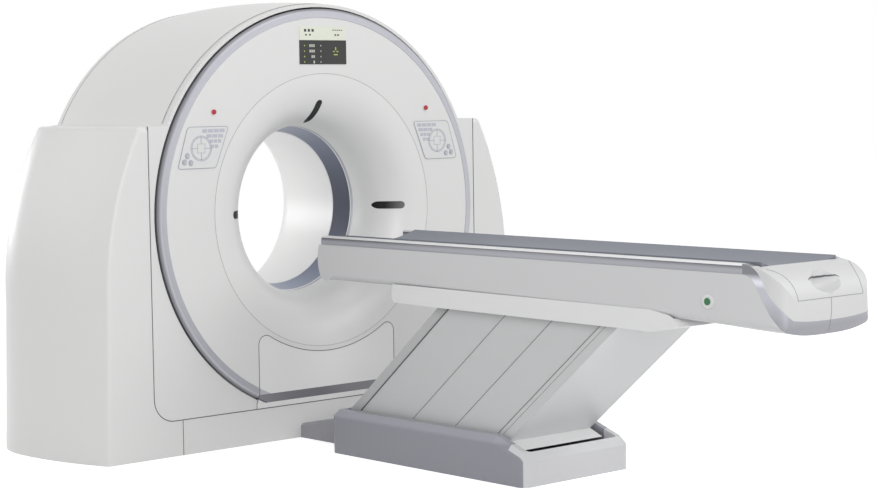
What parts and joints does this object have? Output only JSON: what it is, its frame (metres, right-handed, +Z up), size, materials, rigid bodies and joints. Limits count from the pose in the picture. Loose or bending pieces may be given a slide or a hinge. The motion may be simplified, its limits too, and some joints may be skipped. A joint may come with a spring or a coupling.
{
  "type": "ct scanner",
  "caption": "Floor-standing CT scanner: ringed gantry with flared bore, display and touch panels, and a patient table on a slanted parallelogram lift with sliding cradle.",
  "frame": {"origin": "on the floor, plumb below the centre of the scan plane, in the middle of the gantry's four anchor holes", "axes": "+Z up; +Y along the bore, away from the patient table; +X to the right for someone who faces the gantry from the table"},
  "size_m": [2.512, 3.7, 1.9388],
  "materials": {
    "frame_steel": "painted plate and casting",
    "bearing_steel": "ground",
    "inner_grey": "painted housing",
    "cover_white": "smooth moulded cover, satin",
    "window_dark": "glossy, dark tinted",
    "trim_grey": "matt",
    "funnel_white": "smooth moulded cover, satin",
    "laser_dark": "dark tinted window",
    "door_white": "smooth moulded cover, satin",
    "ring_lavender": "satin paint",
    "bezel_cream": "satin",
    "screen_glass": "glossy display",
    "panel_light": "membrane film, satin",
    "duct_grey": "satin paint",
    "base_grey": "textured satin paint",
    "rotor_metal": "machined",
    "arm_steel": "painted plate",
    "slat_grey": "satin paint on sheet",
    "rod_chrome": "hard chrome",
    "saddle_white": "smooth moulded cover, satin",
    "table_white": "smooth moulded cover, satin",
    "band_lavender": "satin, slightly metallic",
    "cap_white": "smooth moulded cover, satin",
    "rail_mauve": "satin, slightly metallic",
    "guide_metal": "anodised",
    "cradle_grey": "fibre composite, satin clear coat",
    "button_green": "glossy, lit",
    "stop_red": "glossy",
    "key_white": "satin"
  },
  "bodies": {
    "root": {"gantry_base": "frame_steel", "gantry_frame": "frame_steel", "bearing_fixed_race": "bearing_steel", "brush_block": "inner_grey", "drum_shell": "cover_white", "front_surround": "cover_white", "side_cover_right": "cover_white", "side_cover_left": "cover_white", "kick_plates": "cover_white", "rear_cover": "cover_white", "scan_window": "window_dark", "window_trim": "trim_grey", "rear_funnel": "funnel_white", "bore_funnel": "funnel_white", "laser_windows": "laser_dark", "front_cover": "cover_white", "service_door": "door_white", "front_ring": "ring_lavender", "display_bezel": "bezel_cream", "display_screen": "screen_glass", "control_panel_left": "panel_light", "control_panel_right": "panel_light", "cable_duct": "duct_grey", "base_cover": "base_grey", "table_base": "frame_steel"},
    "rotor": {"rotor_plate": "rotor_metal", "bearing_turning_race": "bearing_steel", "slip_ring": "rotor_metal", "xray_tube": "inner_grey", "collimator": "inner_grey", "detector": "inner_grey", "generator": "inner_grey", "oil_cooler": "inner_grey"},
    "main_arm": {"main_arm": "arm_steel"},
    "second_arm": {"second_arm": "arm_steel"},
    "head_cover": {"head_cover": "slat_grey"},
    "slat_head": {"slat_head": "slat_grey"},
    "slat_middle": {"slat_middle": "slat_grey"},
    "slat_foot": {"slat_foot": "slat_grey"},
    "foot_cover": {"foot_cover": "slat_grey"},
    "actuator_body": {"actuator_body": "arm_steel"},
    "actuator_rod": {"actuator_rod": "rod_chrome"},
    "table_top": {"table_chassis": "arm_steel", "saddle": "saddle_white", "table_body": "table_white", "foot_band": "band_lavender", "foot_cap": "cap_white", "side_rails": "rail_mauve", "guide_rails": "guide_metal", "button_bezel": "trim_grey"},
    "cradle": {"cradle": "cradle_grey"},
    "green_button": {"green_button": "button_green"},
    "stop_button_left": {"stop_button_left": "stop_red"},
    "stop_button_right": {"stop_button_right": "stop_red"},
    "round_key_left_1": {"round_key_left_1": "key_white"},
    "round_key_left_2": {"round_key_left_2": "key_white"},
    "round_key_left_3": {"round_key_left_3": "key_white"},
    "round_key_right_1": {"round_key_right_1": "key_white"},
    "round_key_right_2": {"round_key_right_2": "key_white"},
    "round_key_right_3": {"round_key_right_3": "key_white"}
  },
  "joints": [
    {"name": "lift", "type": "hinge", "parent": "root", "child": "main_arm", "pos_m": [0, -1.048, 0.1], "axis": [-1, 0, 0], "range_deg": [-22, 3]},
    {"name": "table_level", "type": "hinge", "parent": "main_arm", "child": "table_top", "pos_m": [0, -1.75123, 0.69008], "axis": [-1, 0, 0], "range_deg": [-3, 22]},
    {"name": "second_arm_swing", "type": "hinge", "parent": "root", "child": "second_arm", "pos_m": [0, -1.318, 0.1], "axis": [-1, 0, 0], "range_deg": [-22, 3]},
    {"name": "head_cover_swing", "type": "hinge", "parent": "root", "child": "head_cover", "pos_m": [0, -0.76789, 0.1], "axis": [-1, 0, 0], "range_deg": [-22, 3]},
    {"name": "slat_head_swing", "type": "hinge", "parent": "root", "child": "slat_head", "pos_m": [0, -0.88739, 0.1], "axis": [-1, 0, 0], "range_deg": [-22, 3]},
    {"name": "slat_middle_swing", "type": "hinge", "parent": "root", "child": "slat_middle", "pos_m": [0, -1.18589, 0.1], "axis": [-1, 0, 0], "range_deg": [-22, 3]},
    {"name": "slat_foot_swing", "type": "hinge", "parent": "root", "child": "slat_foot", "pos_m": [0, -1.44389, 0.1], "axis": [-1, 0, 0], "range_deg": [-22, 3]},
    {"name": "foot_cover_swing", "type": "hinge", "parent": "root", "child": "foot_cover", "pos_m": [0, -1.57799, 0.1], "axis": [-1, 0, 0], "range_deg": [-22, 3]},
    {"name": "actuator_swing", "type": "hinge", "parent": "root", "child": "actuator_body", "pos_m": [0, -1.308, 0.06], "axis": [-1, 0, 0], "range_deg": [-28.73, 4.35]},
    {"name": "actuator_extend", "type": "slide", "parent": "actuator_body", "child": "actuator_rod", "axis": [0, -0.4246, 0.9054], "range_m": [-0.0894, 0.0131]},
    {"name": "rotor_spin", "type": "hinge", "parent": "root", "child": "rotor", "pos_m": [0, 0, 1.007], "axis": [0, 1, 0], "continuous": true},
    {"name": "cradle_slide", "type": "slide", "parent": "table_top", "child": "cradle", "axis": [0, 1, 0], "range_m": [0, 1.7]},
    {"name": "green_button_press", "type": "slide", "parent": "table_top", "child": "green_button", "axis": [1, 0, 0], "range_m": [0, 0.003], "stiffness_N_per_m": 600},
    {"name": "stop_button_left_press", "type": "slide", "parent": "root", "child": "stop_button_left", "axis": [0, 1, 0], "range_m": [0, 0.004], "stiffness_N_per_m": 800},
    {"name": "stop_button_right_press", "type": "slide", "parent": "root", "child": "stop_button_right", "axis": [0, 1, 0], "range_m": [0, 0.004], "stiffness_N_per_m": 800},
    {"name": "round_key_left_1_press", "type": "slide", "parent": "root", "child": "round_key_left_1", "axis": [0, 1, 0], "range_m": [0, 0.0015], "stiffness_N_per_m": 600},
    {"name": "round_key_left_2_press", "type": "slide", "parent": "root", "child": "round_key_left_2", "axis": [0, 1, 0], "range_m": [0, 0.0015], "stiffness_N_per_m": 600},
    {"name": "round_key_left_3_press", "type": "slide", "parent": "root", "child": "round_key_left_3", "axis": [0, 1, 0], "range_m": [0, 0.0015], "stiffness_N_per_m": 600},
    {"name": "round_key_right_1_press", "type": "slide", "parent": "root", "child": "round_key_right_1", "axis": [0, 1, 0], "range_m": [0, 0.0015], "stiffness_N_per_m": 600},
    {"name": "round_key_right_2_press", "type": "slide", "parent": "root", "child": "round_key_right_2", "axis": [0, 1, 0], "range_m": [0, 0.0015], "stiffness_N_per_m": 600},
    {"name": "round_key_right_3_press", "type": "slide", "parent": "root", "child": "round_key_right_3", "axis": [0, 1, 0], "range_m": [0, 0.0015], "stiffness_N_per_m": 600}
  ],
  "couplings": [
    {"joint": "table_level", "follows": "lift", "ratio": -1},
    {"joint": "second_arm_swing", "follows": "lift", "ratio": 1},
    {"joint": "head_cover_swing", "follows": "lift", "ratio": 1},
    {"joint": "slat_head_swing", "follows": "lift", "ratio": 1},
    {"joint": "slat_middle_swing", "follows": "lift", "ratio": 1},
    {"joint": "slat_foot_swing", "follows": "lift", "ratio": 1},
    {"joint": "foot_cover_swing", "follows": "lift", "ratio": 1},
    {"joint": "actuator_swing", "follows": "lift", "ratio": 1.2832},
    {"joint": "actuator_extend", "follows": "lift", "m_per_rad": 0.23033}
  ]
}
